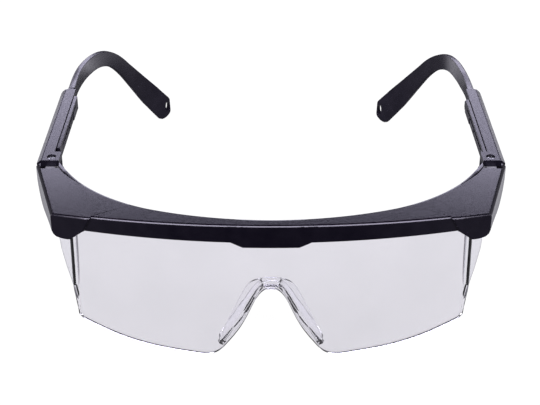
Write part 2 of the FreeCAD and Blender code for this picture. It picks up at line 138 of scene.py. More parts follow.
# Upper and lower edge of the arm's end, from the line's end
TIP_UPPER = [(-6.2, 6.0), (-5.0, 5.1), (-0.5, 1.73), (0.2, 1.05), (0.7, 0.2), (0.95, -0.7), (1.0, -1.2)]
TIP_LOWER = [(-4.6, -5.5), (-2.0, -4.9), (-0.9, -4.6), (0.1, -4.0), (0.7, -3.1), (0.95, -2.5), (1.0, -2.2)]
TIP_THIN = 0.8                  # how much thinner the very end is
SLOT_AT = (-2.5, 1.7)           # cord slot, along and across the arm from the line's end
SLOT_ALONG = (0.751, -0.66)
SLOT_HALF = (2.3, 0.8)
# Place across the arm, inside to outside, and how much the slot grows there
SLOT_RINGS = [(-4, 0.15), (-1.3, 0.15), (-1.1, 0), (1.0, -0.45), (4, -0.45)]

# Camera and floor
EYE = (-0.34, -364.9, 280.1)
AIM = (-0.34, 40, 33.04)
FOCAL_LENGTH = 92.33
FLOOR_HALF = 3.0
FLOOR_Z = -0.0001


# ---- Mesh tools

def placed(x, y, z):
    return Vector((x * MM, y * MM + FRONT_Y, (z + RAISED) * MM))


def mix(a, b, t):
    return a + (b - a) * t


def steps(low, high, count):
    return [mix(low, high, i / count) for i in range(count + 1)]


def reading(table, x):
    """Value at x in a list of (x, value) pairs."""
    return float(np.interp(x, [p[0] for p in table], [p[1] for p in table]))


class Spline:
    """Smooth curve through points, spaced by their distance."""

    def __init__(self, points):
        self.values = np.array(points, float)
        gaps = np.linalg.norm(np.diff(self.values, axis=0), axis=1)
        self.knots = np.concatenate([[0], np.cumsum(gaps)])
        count = len(points)
        matrix = np.eye(count)
        right = np.zeros_like(self.values)
        for i in range(1, count - 1):
            before, after = gaps[i - 1], gaps[i]
            matrix[i, i - 1:i + 2] = before, 2 * (before + after), after
            rise = (self.values[i + 1] - self.values[i]) / after
            run = (self.values[i] - self.values[i - 1]) / before
            right[i] = 6 * (rise - run)
        self.bends = np.linalg.solve(matrix, right)
        self.length = self.knots[-1]

    def at(self, s):
        i = int(np.clip(np.searchsorted(self.knots, s) - 1, 0, len(self.knots) - 2))
        gap = self.knots[i + 1] - self.knots[i]
        a = (self.knots[i + 1] - s) / gap
        b = 1 - a
        curve = (a ** 3 - a) * self.bends[i] + (b ** 3 - b) * self.bends[i + 1]
        return a * self.values[i] + b * self.values[i + 1] + curve * gap * gap / 6

    def along(self, s):
        step = 0.01
        ahead = self.at(min(s + step, self.length)) - self.at(max(s - step, 0))
        return ahead / np.linalg.norm(ahead)


def loft(mesh, rings):
    """Adds a closed tube of quads through rings of (x, y, z) in millimetres."""
    verts = [[mesh.verts.new(placed(*p)) for p in ring] for ring in rings]
    for ring, after in zip(verts, verts[1:]):
        for i in range(len(ring)):
            j = (i + 1) % len(ring)
            mesh.faces.new((ring[i], ring[j], after[j], after[i]))
    mesh.faces.new(verts[0])
    mesh.faces.new(verts[-1][::-1])


def prism(mesh, outline, low, high, axis="x"):
    """Adds a solid whose outline lies across the x or the z axis."""
    def corner(level, a, b):
        return (level, a, b) if axis == "x" else (a, b, level)
    loft(mesh, [[corner(level, *p) for p in outline] for level in (low, high)])


def finished(mesh):
    """Cleans a mesh, turns its faces outwards and marks its crisp edges."""
    bmesh.ops.remove_doubles(mesh, verts=mesh.verts, dist=2e-6)
    bmesh.ops.dissolve_degenerate(mesh, dist=1e-7, edges=mesh.edges)
    bmesh.ops.recalc_face_normals(mesh, faces=mesh.faces)
    for face in mesh.faces:
        face.smooth = True
    for edge in mesh.edges:
        edge.smooth = edge.is_manifold and edge.calc_face_angle(0) < SMOOTH_ANGLE


def new_object(name, mesh):
    data = bpy.data.meshes.new(name)
    finished(mesh)
    mesh.to_mesh(data)
    mesh.free()
    obj = bpy.data.objects.new(name, data)
    bpy.context.scene.collection.objects.link(obj)
    return obj


def applied(obj, kind, **settings):
    """Adds a modifier and applies it to the mesh."""
    modifier = obj.modifiers.new(kind, kind)
    for key, value in settings.items():
        setattr(modifier, key, value)
    graph = bpy.context.evaluated_depsgraph_get()
    data = bpy.data.meshes.new_from_object(obj.evaluated_get(graph))
    obj.modifiers.clear()
    old = obj.data
    obj.data = data
    bpy.data.meshes.remove(old)
    return obj


def cut(obj, tool, operation="DIFFERENCE"):
    applied(obj, "BOOLEAN", operation=operation, object=tool, solver="EXACT")
    bpy.data.objects.remove(tool)
    return obj


def joined(obj, tool):
    return cut(obj, tool, "UNION")


def tidied(obj, even=True):
    """Cleans an object's mesh again after cuts, and evens the shading of its flat faces."""
    mesh = bmesh.new()
    mesh.from_mesh(obj.data)
    finished(mesh)
    mesh.to_mesh(obj.data)
    mesh.free()
    if even:
        applied(obj, "WEIGHTED_NORMAL", keep_sharp=True, weight=70)
    return obj


def mirrored(obj, name):
    data = obj.data.copy()
    data.transform(MIRROR)
    data.flip_normals()
    twin = bpy.data.objects.new(name, data)
    bpy.context.scene.collection.objects.link(twin)
    return twin


def bevelled(obj, width, segments=3):
    return applied(obj, "BEVEL", width=width * MM, segments=segments, limit_method="ANGLE",
                   angle_limit=math.radians(30), miter_outer="MITER_ARC")


def from_node(name, node):
    """A copy of a CAD node with its flat faces made whole."""
    mesh = bmesh.new()
    mesh.from_mesh(frame["nodes"][node].data)
    bmesh.ops.remove_doubles(mesh, verts=mesh.verts, dist=2e-6)
    bmesh.ops.dissolve_limit(mesh, angle_limit=math.radians(0.5), verts=mesh.verts, edges=mesh.edges)
    return new_object(name, mesh)


def show(obj, material, body, node):
    """Gives a finished piece its material and its body, and hides the CAD node it stands for."""
    obj.data.materials.clear()
    obj.data.materials.append(material)
    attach(obj, body)
    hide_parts(node)


# ---- Brow frame

def front_y(x, inset):
    radius = BROW_RADIUS - inset
    return BROW_RADIUS - math.sqrt(radius * radius - x * x)


def side_x(y, inset):
    return BROW_HALF + SIDE_SLOPE * (y - front_y(BROW_HALF, 0)) - inset * math.hypot(1, SIDE_SLOPE)


def brow_corner(front_inset, side_inset):
    x = BROW_HALF
    for _ in range(20):
        x = side_x(front_y(x, front_inset), side_inset)
    return Vector((x, front_y(x, front_inset)))


def brow_plan(part, share, front_inset, side_inset):
    """Point on the frame's outline in plan, inset from the front and from the side walls.

    part is front, corner or side, and share runs from 0 to 1 along it."""
    tip = brow_corner(front_inset, side_inset)
    radius = max(0.0, CORNER_R - max(front_inset, side_inset, 0.0))
    slope = tip.x / (BROW_RADIUS - tip.y)
    to_front = Vector((-1, -slope)).normalized()
    to_side = Vector((SIDE_SLOPE, 1)).normalized()
    half_angle = to_front.angle(to_side) / 2
    run = radius / math.tan(half_angle)
    first = tip + to_front * run
    last = tip + to_side * run
    if part == "front":
        x = share * first.x
        return x, front_y(x, front_inset)
    if part == "side":
        y = mix(last.y, EAR_BACK, share)
        return side_x(y, side_inset), y
    middle = tip + (to_front + to_side).normalized() * radius / math.sin(half_angle)
    spoke = (first - middle).lerp(last - middle, share)
    if radius > 0:
        spoke = spoke.normalized() * radius
    return tuple(middle + spoke)


def circle_through(a, b, c, count):
    """Points on the arc from a through b to c, in count steps."""
    ax, ay = a
    bx, by = b
    cx, cy = c
    d = 2 * (ax * (by - cy) + bx * (cy - ay) + cx * (ay - by))
    aa, bb, cc = ax * ax + ay * ay, bx * bx + by * by, cx * cx + cy * cy
    ux = (aa * (by - cy) + bb * (cy - ay) + cc * (ay - by)) / d
    uy = (aa * (cx - bx) + bb * (ax - cx) + cc * (bx - ax)) / d
    start = math.atan2(ay - uy, ax - ux)
    turn = math.remainder(math.atan2(cy - uy, cx - ux) - start, 2 * math.pi)
    radius = math.hypot(ax - ux, ay - uy)
    return [(ux + radius * math.cos(start + turn * t), uy + radius * math.sin(start + turn * t))
            for t in steps(0, 1, count)]


def scoop_line():
    """Inner edge of the top shelf from the middle to the hinge: (distance, x), (distance, y), length."""
    middle = circle_through((-40, 11.6), (0, 4.0), (40, 11.6), 40)[20:]
    rest = circle_through((40, 11.6), (60.3, 25.8), (71.3, EAR_BACK), 24)[1:]
    line = middle + rest
    run = [0.0]
    for p, q in zip(line, line[1:]):
        run.append(run[-1] + math.dist(p, q))
    along_x = [(r, p[0]) for r, p in zip(run, line)]
    along_y = [(r, p[1]) for r, p in zip(run, line)]
    return along_x, along_y, run[-1]


def top_z(x):
    return BROW_TOP - BROW_CROWN * (x / BROW_HALF) ** 2


# Top and bottom of the seam between fascia and flap, the bottom line of both in front view, and the
# bottom line of the side wall in side view
SEAM_HIGH = 57.4
SEAM_LOW = 59.9
FASCIA_LOW = [(0, 40.45), (9.0, 40.45), (12.9, 42.3), (SEAM_LOW - 0.1, 42.35), (SEAM_LOW, 42.6),
              (64.3, 38.95), (64.9, 38.74), (66, 38.7), (67.7, 38.85), (68.8, 39.15), (69.6, 39.65),
              (70.1, 40.3), (70.5, 41.1)]
SIDE_LOW = Spline([(9.0, 41.1), (14, 40.3), (22, 38.6), (28, 37.2), (32, 36.8), (36, 37.2), (39.5, 38.6),
                   (42.4, 41.0)])
# Top front edge as (inset, drop): a narrow chamfer and a slight fall in front, a bevel along the side
FRONT_EDGE = [(0, 0.5), (0.03, 0.44), (0.3, 0.15), (0.35, 0.12), (0.78, 0.012), (0.85, 0), (0.95, 0),
              (1.1, 0)]
SIDE_EDGE = [(0, 1.15), (0.03, 1.02), (0.1, 0.92), (0.5, 0.5), (0.6, 0.4), (0.9, 0.1), (1.0, 0.03),
             (1.15, 0)]


def fascia_low(x):
    return reading(FASCIA_LOW, x)


def side_low(y):
    place = np.interp(y, SIDE_LOW.values[:, 0], SIDE_LOW.knots)
    return float(SIDE_LOW.at(place)[1])


def brow_columns():
    """Columns of the half frame: part, share at the top, share at the bottom, how far it stands proud."""
    width = brow_plan("front", 1, 0, 0)[0]
    plain = steps(0, 8.7, 4) + [9.0, 9.3, 10.6, 11.8, 12.6, 12.9, 13.4] + steps(15, 50, 18)
    tops = [(x, x, 0.0) for x in plain]
    tops += [(mix(50, SEAM_HIGH, t), mix(50, SEAM_LOW, t), 0.0) for t in (0.25, 0.5, 0.75, 0.93, 0.99)]
    seam = [(0.0, 0.0), (0.02, 0.6), (0.06, 0.64), (0.62, 0.95), (0.72, 1.0)]
    tops += [(SEAM_HIGH + past, SEAM_LOW + past, share * FLAP_PROUD) for past, share in seam]
    lows = [61.6, 62.6, 63.5, 64.0, 64.3, 64.6, 65.0, 65.6, 66.5, 67.3, 68.0, 68.6, 69.1, 69.5, width]
    for low in lows:
        share = (low - SEAM_LOW) / (width - SEAM_LOW)
        tops.append((mix(SEAM_HIGH, width, share), low, FLAP_PROUD))
    columns = [("front", a / width, b / width, proud) for a, b, proud in tops]
    columns += [("corner", t, t, FLAP_PROUD) for t in (0.2, 0.4, 0.6, 0.8)]
    sides = steps(0, 0.3, 7) + steps(0.34, 1, 26)
    columns += [("side", t, t, FLAP_PROUD) for t in sides]
    return columns


def brow_section(column, scoop):
    """Closed section of the frame at a column."""
    part, share, low_share, proud = column
    scoop_x, scoop_y, scoop_run = scoop
    place = {"front": share * CORNER_PLACE, "corner": CORNER_PLACE,
             "side": mix(CORNER_PLACE, 1, share)}[part]
    inner = Vector((reading(scoop_x, place * scoop_run), reading(scoop_y, place * scoop_run)))
    outer_low = Vector(brow_plan(part, low_share, -proud, 0))
    low = side_low(outer_low.y) if part == "side" else fascia_low(outer_low.x)
    if part == "corner":
        low = mix(fascia_low(outer_low.x), side_low(outer_low.y), share)

    def wall_point(inset, side_inset, z, bottom):
        """Point on the fascia or the side wall; the seam makes the two ends of a column differ."""
        high = Vector(brow_plan(part, share, inset - proud, side_inset))
        base = Vector(brow_plan(part, low_share, inset - proud, side_inset))
        p = base if bottom else high
        return p.x, p.y, z

    back = FASCIA + proud
    behind = back if proud == 0 else back - 0.55
    ring = [wall_point(behind, WALL, low + EDGE, True),
            wall_point(behind - 0.1, WALL - 0.1, low + 0.1, True),
            wall_point(behind - EDGE, WALL - EDGE, low, True),
            wall_point(EDGE, EDGE, low, True),
            wall_point(0.1, 0.1, low + 0.1, True),
            wall_point(0, 0, low + EDGE, True)]
    blend = {"front": 0, "corner": share, "side": 1}[part]
    for (front_in, front_drop), (side_in, side_drop) in zip(FRONT_EDGE, SIDE_EDGE):
        inset = mix(front_in, side_in, blend)
        x, y, _ = wall_point(inset, inset, 0, False)
        ring.append((x, y, top_z(x) - mix(front_drop, side_drop, blend)))
    start = Vector(ring[-1][:2])
    toward = (inner - start).normalized()
    bead = 0.35 * min(1, max(0, (place - 0.8) / 0.12))
    bead_wide = 0.2 + 0.7 * bead / 0.35
    reach = inner - toward * (SHELF_RIM + bead_wide)
    for t in steps(0, 1, 6)[1:]:
        p = start.lerp(reach, t)
        ring.append((p.x, p.y, top_z(p.x)))
    rim = [(SHELF_RIM + bead_wide - 0.03, -bead), (SHELF_RIM - 0.2, -bead), (0.16, 0.1 - bead), (0, 0.42),
           (0, SHELF - 0.42), (0.16, SHELF - 0.1), (SHELF_RIM, SHELF)]
    for back_by, drop in rim:
        p = inner - toward * back_by
        ring.append((p.x, p.y, top_z(p.x) - drop))
    wall = Vector(wall_point(back, WALL, 0, False)[:2])
    width = (reach - wall).length
    lip_share = 0.0
    if part == "front":
        lip_share = min(1, max(0, (wall.x - 17) / 5)) * min(1, max(0, (57 - wall.x) / 3))
    slot, rear = [min((d - FASCIA) / width, limit) for d, limit in zip(LIP_SLOT, (0.5, 0.9))]
    deep = LIP_DEPTH * lip_share
    lip = [(rear, 0), (rear, deep - 0.2 * lip_share), (rear - 0.04, deep), (slot + 0.04, deep),
           (slot, deep - 0.2 * lip_share), (slot, 0), (0, 0)]
    for across, drop in lip:
        p = wall.lerp(reach, across)
        ring.append((p.x, p.y, top_z(p.x) - SHELF - drop))
    x, y, _ = wall_point(back, WALL, 0, False)
    ring.append((x, y, mix(low, top_z(x), 0.55)))
    return ring


def block(name, x0, x1, y0, y1, z0, z1):
    mesh = bmesh.new()
    prism(mesh, [(y0, z0), (y1, z0), (y1, z1), (y0, z1)], x0, x1)
    return new_object(name, mesh)


def rod(name, radius, x0, x1, y, z, sides=24):
    mesh = bmesh.new()
    turn = [2 * math.pi * i / sides for i in range(sides)]
    prism(mesh, [(y + radius * math.cos(t), z + radius * math.sin(t)) for t in turn], x0, x1)
    return new_object(name, mesh)


def brow_frame(material):
    columns = brow_columns()
    scoop = scoop_line()
    half = [brow_section(column, scoop) for column in columns]
    other = [[(-x, y, z) for x, y, z in ring] for ring in half[:0:-1]]
    mesh = bmesh.new()
    loft(mesh, other + half)
    frame_obj = new_object("brow_frame_shell", mesh)
    for side in (1, -1):
        mesh = bmesh.new()
        outline = [(74.4, 34.6), (side_x(34.6, 0.2), 34.6), (side_x(EAR_BACK, 0.2), EAR_BACK),
                   (POCKET_OUT, EAR_BACK), (POCKET_OUT, POCKET_FRONT), (74.4, POCKET_FRONT)]
        prism(mesh, [(side * x, y) for x, y in outline], 39.6, top_z(79) - 0.8, axis="z")
        joined(frame_obj, bevelled(new_object("cheek", mesh), 0.15, 2))
        behind = EAR_BACK + 1
        pocket_top = top_z(75) - SHELF + 0.05
        x0, x1 = side * EAR_OUT, side * POCKET_OUT
        cut(frame_obj, block("pocket", x0, x1, POCKET_FRONT, behind, 30, pocket_top))
        cut(frame_obj, block("slot", x0, side * SLOT_OUT, SLOT_FRONT, behind, 30, 60))
        joined(frame_obj, block("web", side * 71.0, side * 77.5, 35.0, EAR_BACK - 0.2, *WEB))
        mesh = bmesh.new()
        profile = [(33.0, 46.6), (33.0, 40.6), (36.0, 39.4), (41.0, 40.0), (41.4, 42), (41.4, 46.6)]
        prism(mesh, profile, side * EAR_IN, side * EAR_OUT)
        joined(frame_obj, bevelled(new_object("ear", mesh), 0.25, 3))
        cut(frame_obj, rod("pin_hole", PIN_R, side * 69, side * 77.4, TILT_Y, TILT_Z))
    show(tidied(frame_obj), material, "frame", "brow_frame")


# ---- Lens

def leaned(x, y, z):
    """Turns a point about the lens's top edge, bottom forwards."""
    y0, z0 = LENS_PIVOT
    c, s = math.cos(LENS_LEAN), math.sin(LENS_LEAN)
    return x, y0 + (y - y0) * c + (z - z0) * s, z0 - (y - y0) * s + (z - z0) * c


LENS_LOW = [(62.3, 9.2), (49.9, 4.3), (36, 1.1), (25, -0.25), (20.4, -0.4), (17.8, 0.5), (14.6, 3.7),
            (9.6, 10.9), (6.6, 17.2), (4.2, 22.0), (1.8, 24.3), (0, 24.5)]
SHIELD_BACK = 39.2
SHIELD_LOW = [(10.4, 11.8), (11.3, 16.6), (12.6, 20.0), (24.2, 20.4), (34.0, 22.0), (38.2, 25.0),
              (SHIELD_BACK, 29.0)]
SHIELD_TOP = [(0, LENS_TOP), (30.6, LENS_TOP), (31.4, 41.6), (SHIELD_BACK, 41.2)]


def lens_plan():
    """Columns of the half lens, from the middle to the shield's rear: outer (x, y), inward direction."""
    radius = BROW_RADIUS - FASCIA - LENS_GAP
    length = math.hypot(1, SHIELD_SLOPE)
    along = Vector((SHIELD_SLOPE / length, 1 / length))
    inward = Vector((-along.y, along.x))
    start = Vector((64.3, 9.8)) + inward * LENS_BEND
    away = start - Vector((0, BROW_RADIUS))
    reach = radius - LENS_BEND
    half = away.dot(along)
    middle = start + along * (-half - math.sqrt(half * half - away.length_squared + reach * reach))
    out = (middle - Vector((0, BROW_RADIUS))).normalized()
    first = middle + out * LENS_BEND
    columns = []
    xs = steps(0, 5.5, 24) + steps(5.8, 20.5, 42) + steps(21.3, 26, 6) + steps(28, first.x, 18)
    for x in xs:
        y = BROW_RADIUS - math.sqrt(radius * radius - x * x)
        columns.append((Vector((x, y)), (Vector((0, BROW_RADIUS)) - Vector((x, y))).normalized()))
    turn = out.angle(-inward)
    for t in steps(0, 1, 14)[1:]:
        spoke = Matrix.Rotation(turn * t, 2) @ out
        columns.append((middle + spoke * LENS_BEND, -spoke))
    last = columns[-1][0]
    run = (SHIELD_BACK - last.y) / along.y
    near_bend = [0.15, 0.35, 0.6, 0.85, 1.2, 1.6, 2.1, 2.8, 3.6, 4.8, 6.4]
    at_step = [21, 21.2, 21.4, 21.6, 21.8, 22.0, 22.5, 23.5, 25, 26]
    near_end = [27, 27.8, 28.4, 28.8, 29.1]
    for s in near_bend + [8, 10, 12, 14, 16, 18, 20] + at_step + near_end:
        if s < run - 0.45:
            columns.append((last + along * s, inward))
    for s in (0.42, 0.2, 0.06, 0):
        columns.append((last + along * (run - s), inward))
    return columns


def lens_low(point, edge):
    """Height of the lower edge of the lens or of its shield at a column."""
    if point.y > SHIELD_FRONT and point.x > 60:
        return reading(SHIELD_LOW, point.y)
    if point.x > 62.3:
        return mix(9.2, 12.6, (point.x - 62.3) / 3.7)
    return reading(edge, point.x)


def lens_section(point, inward, edge, thin):
    low = lens_low(point, edge)
    high = reading(SHIELD_TOP, point.y)
    r = LENS_EDGE
    skin = [(thin, z) for z in steps(low + r, high - r, 14)]
    skin += [(0.12 * r + thin, high - 0.3 * r), (0.5 * r + thin, high)]
    back = [(LENS_THICK - d, z) for d, z in skin[::-1]]
    foot = [(LENS_THICK - 0.12 * r - thin, low + 0.3 * r), (LENS_THICK - 0.5 * r - thin, low),
            (0.5 * r + thin, low), (0.12 * r + thin, low + 0.3 * r)]
    ring = []
    for d, z in skin + back + foot:
        p = point + inward * d
        ring.append(leaned(p.x, p.y, z))
    return ring


def lens(material):
    curve = Spline(LENS_LOW + [(-x, z) for x, z in LENS_LOW[-2::-1]])
    outline = [curve.at(s) for s in steps(0, curve.length / 2, 400)]
    edge = sorted((float(x), float(z)) for x, z in outline)
    columns = lens_plan()
    thin = [0.0] * (len(columns) - 3) + [0.06, 0.2, 0.42]
    half = [lens_section(p, n, edge, t) for (p, n), t in zip(columns, thin)]
    other = [[(-x, y, z) for x, y, z in ring] for ring in half[:0:-1]]
    mesh = bmesh.new()
    loft(mesh, other + half)
    show(tidied(new_object("lens_wrap", mesh)), material, "frame", "lens")


# ---- Nose bridge

def rear_face(x, offset):
    """Depth of the rear of the lens, moved back by an offset."""
    radius = BROW_RADIUS - FASCIA - LENS_GAP - LENS_THICK - offset
    return BROW_RADIUS - math.sqrt(radius * radius - x * x)


def pad_depth(x, z):
    """How far the bridge reaches behind the lens: a thin strip over the arch, deep pads beside it."""
    side = reading([(2, 8.0), (12, 8.0), (20.5, 5.2), (23.5, 4.4)], z)
    return mix(2.4, side, min(1, max(0, (abs(x) - 2.5) / 0.35)))


def nose_bridge(material):
    arch = Spline(ARCH + [(-x, z) for x, z in ARCH[-2::-1]])
    edge = Spline(FLANGE_EDGE + [(-x, z) for x, z in FLANGE_EDGE[-2::-1]])
    rings = []
    for share in sorted(steps(0, 1, 90) + [0.004, 0.996]):
        foot = arch.at(share * arch.length)
        out = edge.at(share * edge.length) - foot
        width = float(np.linalg.norm(out))
        out = out / width
        end = min(share, 1 - share)
        ease = 0.94 if end == 0 else 1.0
        wall = BRIDGE_WALL
        thick = FLANGE_THICK * ease
        rim = width * ease
        deep = pad_depth(*foot) * min(1, 0.72 + end * 3) * ease
        flare = BRIDGE_FLARE * deep
        flange = [(0.3, 0.0), (rim - 0.3, 0.0), (rim - 0.08, 0.12), (rim, 0.4), (rim - 0.1, thick - 0.2),
                  (rim - 0.35, thick), (wall + 0.9, thick + 0.02), (wall + 0.45, thick + 0.22)]
        outer = [(wall + 0.2, thick + 0.55), (wall + flare * 0.75, deep * 0.75), (wall + flare, deep - 0.4),
                 (wall + flare - 0.15, deep - 0.1), (wall * 0.5 + flare, deep)]
        inner = [(flare + 0.25, deep - 0.1), (flare + 0.1, deep - 0.4), (0.1 + flare * 0.6, deep * 0.6),
                 (0.1, 0.9), (0.1, 0.3)]
        ring = []
        for grow, depth in flange + outer + inner:
            x, z = foot + out * grow
            ring.append(leaned(x, rear_face(x, 0.02) + depth, z))
        rings.append(ring)
    mesh = bmesh.new()
    loft(mesh, rings)
    show(tidied(new_object("nose_saddle", mesh)), material, "frame", "nose_bridge")


# ---- Temples

def in_temple(x, y, z):
    """A point given from the hinge screw, toed in and set in its place."""
    c, s = math.cos(TOE_IN), math.sin(TOE_IN)
    return FOLD_X + x * c - y * s, FOLD_Y + x * s + y * c, z


def arm_axes(spine, s):
    """Point, direction, sideways and upward directions of the arm at a place on its line."""
    along = Vector(spine.along(s))
    side = Vector((along.y, -along.x, 0)).normalized()
    up = side.cross(along).normalized()
    return Vector(spine.at(s)), along, side, up if up.z > 0 else -up


def arm_section(point, side, up, top, bottom, thick):
    """Flat inner face, narrow top and bottom, and a bevelled outer face."""
    a = thick / 2
    middle = (top + bottom) / 2
    b = (top - bottom) / 2
    soft = min(0.38, b * 0.6)
    bevel = min(0.85, b * 0.8)
    upper = [(-a, b - soft), (-a + 0.1 * soft, b - 0.42 * soft), (-a + 0.42 * soft, b - 0.1 * soft),
             (-a + soft, b), (a - bevel, b), (a - 0.75 * bevel, b - 0.08 * bevel),
             (a - 0.08 * bevel, b - 0.75 * bevel), (a, b - bevel)]
    outline = upper + [(s, -t) for s, t in upper[::-1]]
    return [tuple(point + side * s + up * (middle + t)) for s, t in outline]


def arm_hook(spread):
    """The arm behind the sleeve, with its hook bent outwards by spread."""
    spine = Spline([(x + spread * min(1, max(0, (y - SPREAD_FROM) / SPREAD_OVER)), y, z)
                    for x, y, z, _, _ in ARM_LINE])
    heights = [(k, row[3]) for k, row in zip(spine.knots, ARM_LINE)]
    thicks = [(k, row[4]) for k, row in zip(spine.knots, ARM_LINE)]
    places = [spine.length + s for s in steps(-spine.length, -6.6, 60) + steps(-6.2, -0.6, 14)
              + [-0.2, 0.1, 0.35, 0.55, 0.7, 0.8, 0.88, 0.94, 0.98, 1.0]]
    rings = []
    for s in places:
        point, along, side, up = arm_axes(spine, min(s, spine.length))
        point += along * max(0, s - spine.length)
        half = reading(heights, s) / 2
        thick = reading(thicks, s)
        beyond = s - spine.length
        top = min(half, reading(TIP_UPPER, beyond))
        bottom = max(-half, reading(TIP_LOWER, beyond))
        if beyond > 0.1:
            thick -= TIP_THIN * ((beyond - 0.1) / 0.9) ** 2
        rings.append(arm_section(point, side, up, top, bottom, thick))
    mesh = bmesh.new()
    loft(mesh, rings)
    return cut(new_object("hook", mesh), slot_tool(spine))


def slot_tool(spine):
    """Cutter for the cord slot, with an eased inner mouth and a narrower outer one."""
    point, along, side, up = arm_axes(spine, spine.length)
    centre = point + along * SLOT_AT[0] + up * SLOT_AT[1]
    long_way = along * SLOT_ALONG[0] + up * SLOT_ALONG[1]
    short_way = along * -SLOT_ALONG[1] + up * SLOT_ALONG[0]
    a, b = SLOT_HALF
    rings = []
    for place, grow in SLOT_RINGS:
        ring = []
        for t in (2 * math.pi * i / 32 for i in range(32)):
            x = math.copysign(abs(math.cos(t)) ** 0.75, math.cos(t)) * (a + grow)
            y = math.sin(t) * (b + grow)
            ring.append(tuple(centre + side * place + long_way * x + short_way * y))
        rings.append(ring)
    mesh = bmesh.new()
    loft(mesh, rings)
    return new_object("slot_tool", mesh)


def blade():
    """Sliding blade with its long window, and the rail that runs inside the sleeve."""
    low = [(BLADE_FRONT, 44.0), (23.0, 44.0), (23.0, 45.0), (24.5, 45.0), (24.5, 43.6), (31.5, 43.6),
           (31.5, 45.0), (33.3, 45.0), (33.3, 42.3), (BLADE_BACK, 42.3)]
    profile = [(BLADE_FRONT, 47.4)] + low + [(BLADE_BACK, 47.4)]
    mesh = bmesh.new()
    loft(mesh, [[in_temple(x, y, z) for y, z in profile] for x in BLADE])
    strip = bevelled(new_object("blade", mesh), 0.18, 3)
    mesh = bmesh.new()
    window = [(8, 45.2), (38, 45.2), (38, 46.3), (8, 46.3)]
    loft(mesh, [[in_temple(x, y, z) for y, z in window] for x in (BLADE[0] - 1, BLADE[0] + 0.8)])
    cut(strip, new_object("window", mesh))
    for xs, (y0, y1), (z0, z1) in (RAIL, NECK):
        ends = [(y0, z0), (y1, z0), (y1, z1), (y0, z1)]
        mesh = bmesh.new()
        loft(mesh, [[in_temple(x, y, z) for y, z in ends] for x in xs])
        joined(strip, new_object("rail", mesh))
    return strip


def temple_arms(material):
    """Both arms. The right one mirrors an unbent left one, drawn one click further out."""
    arm = tidied(joined(arm_hook(SPREAD), blade()))
    arm.name = "left_arm_hook"
    straight = tidied(joined(arm_hook(0), blade()))
    twin = mirrored(straight, "right_arm_hook")
    bpy.data.objects.remove(straight)
    slide = Vector((math.sin(TOE_IN), math.cos(TOE_IN), 0)) * OUT_CLICK * MM
    twin.data.transform(Matrix.Translation(slide))
    show(twin, material, "right_arm", "right_temple_arm")
    show(arm, material, "left_arm", "left_temple_arm")


def temple_sleeves(material):
    """Both sleeves: the CAD channel with a bevel and a groove along the top of its outer side."""
    sleeve = from_node("left_sleeve_channel", "left_temple_sleeve")
    above = SLEEVE_TOP + 1
    slant = [(3.3, SLEEVE_TOP), (5.4, SLEEVE_TOP - 1.8), (5.5, above), (3.3, above)]
    groove = [(2.9, SLEEVE_TOP - 0.3), (3.1, SLEEVE_TOP - 0.3), (3.15, above), (2.85, above)]
    for outline in (slant, groove):
        mesh = bmesh.new()
        loft(mesh, [[in_temple(x, y, z) for x, z in outline] for y in (-4, 54)])
        cut(sleeve, new_object("bevel", mesh))
    tidied(sleeve, even=False)
    twin = mirrored(sleeve, "right_sleeve_channel")
    show(twin, material, "right_sleeve", "right_temple_sleeve")
    show(sleeve, material, "left_sleeve", "left_temple_sleeve")


# ---- Materials

class Nodes:
    """Small helper for building a material's node tree."""

    def __init__(self, name):
        self.material = bpy.data.materials.new(name)
        self.material.use_nodes = True
        self.tree = self.material.node_tree
        self.shader = self.tree.nodes["Principled BSDF"]
        self.place = self.add("ShaderNodeTexCoord").outputs["Object"]

    def add(self, kind, **values):
        node = self.tree.nodes.new(kind)
        for key, value in values.items():
            if hasattr(node, key):
                setattr(node, key, value)
            else:
                node.inputs[key.replace("_", " ")].default_value = value
        return node

    def link(self, source, target):
        self.tree.links.new(source, target)

    def noise(self, per_mm, detail=3.0, roughness=0.5, stretch=(1, 1, 1)):
        mapping = self.add("ShaderNodeMapping")
        mapping.inputs["Scale"].default_value = stretch
        self.link(self.place, mapping.inputs["Vector"])
        node = self.add("ShaderNodeTexNoise", Scale=per_mm / MM, Detail=detail, Roughness=roughness)
        self.link(mapping.outputs["Vector"], node.inputs["Vector"])
        return node.outputs["Fac"]

    def ramp(self, source, low, high, out_low, out_high):
        node = self.add("ShaderNodeMapRange", From_Min=low, From_Max=high, To_Min=out_low, To_Max=out_high)
        self.link(source, node.inputs["Value"])
        return node.outputs["Result"]

    def blend(self, factor, a, b):
        node = self.add("ShaderNodeMix", data_type="RGBA")
        self.link(factor, node.inputs["Factor"])
        node.inputs["A"].default_value = (*a, 1)
        node.inputs["B"].default_value = (*b, 1)
        return node.outputs["Result"]

    def bump(self, height, strength, distance_mm, under=None):
        node = self.add("ShaderNodeBump", Strength=strength, Distance=distance_mm * MM)
        self.link(height, node.inputs["Height"])
        if under:
            self.link(under, node.inputs["Normal"])
        return node.outputs["Normal"]

    def set(self, **values):
        for key, value in values.items():
            self.shader.inputs[key.replace("_", " ")].default_value = value

    def feed(self, name, source):
        self.link(source, self.shader.inputs[name])


